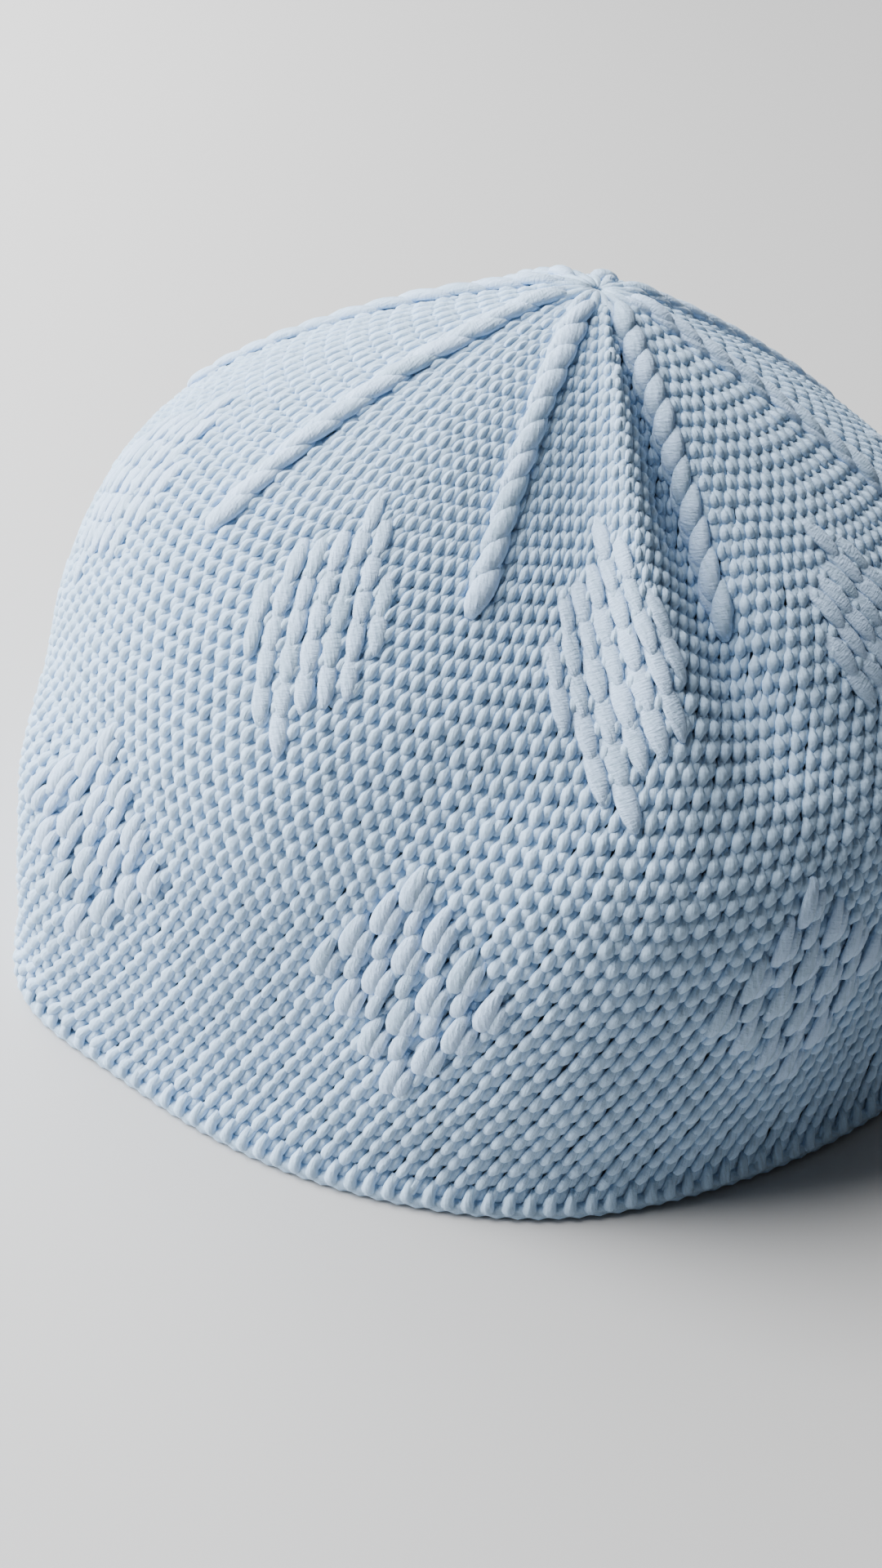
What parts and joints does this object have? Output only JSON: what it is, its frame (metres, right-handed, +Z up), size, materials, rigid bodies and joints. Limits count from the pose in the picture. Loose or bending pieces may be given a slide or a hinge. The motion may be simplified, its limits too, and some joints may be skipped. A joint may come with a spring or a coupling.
{
  "type": "kufi cap",
  "caption": "Soft brimless crocheted skullcap with radiating crown ribs, raised diamond motifs and a corded rim, open underneath, resting on its rim.",
  "frame": {"origin": "middle of the cap's box on the floor it rests on", "axes": "+Z up through the crown, -Y towards the front of the cap as pictured, +X to its right in the picture"},
  "size_m": [0.1892, 0.1754, 0.1267],
  "materials": {
    "white_yarn": "matt twisted yarn, close crochet",
    "relief_yarn": "matt twisted yarn, long raised stitches"
  },
  "bodies": {
    "root": {"cap_body": "white_yarn", "rim_edging": "white_yarn", "crown_rib_1": "relief_yarn", "crown_rib_2": "relief_yarn", "crown_rib_3": "relief_yarn", "crown_rib_4": "relief_yarn", "crown_rib_5": "relief_yarn", "crown_rib_6": "relief_yarn", "crown_rib_7": "relief_yarn", "crown_rib_8": "relief_yarn", "lower_diamond_1": "relief_yarn", "lower_diamond_2": "relief_yarn", "lower_diamond_3": "relief_yarn", "lower_diamond_4": "relief_yarn", "lower_diamond_5": "relief_yarn", "lower_diamond_6": "relief_yarn", "lower_diamond_7": "relief_yarn", "lower_diamond_8": "relief_yarn", "upper_diamond_1": "relief_yarn", "upper_diamond_2": "relief_yarn", "upper_diamond_3": "relief_yarn", "upper_diamond_4": "relief_yarn", "upper_diamond_5": "relief_yarn", "upper_diamond_6": "relief_yarn", "upper_diamond_7": "relief_yarn", "upper_diamond_8": "relief_yarn"}
  },
  "joints": []
}
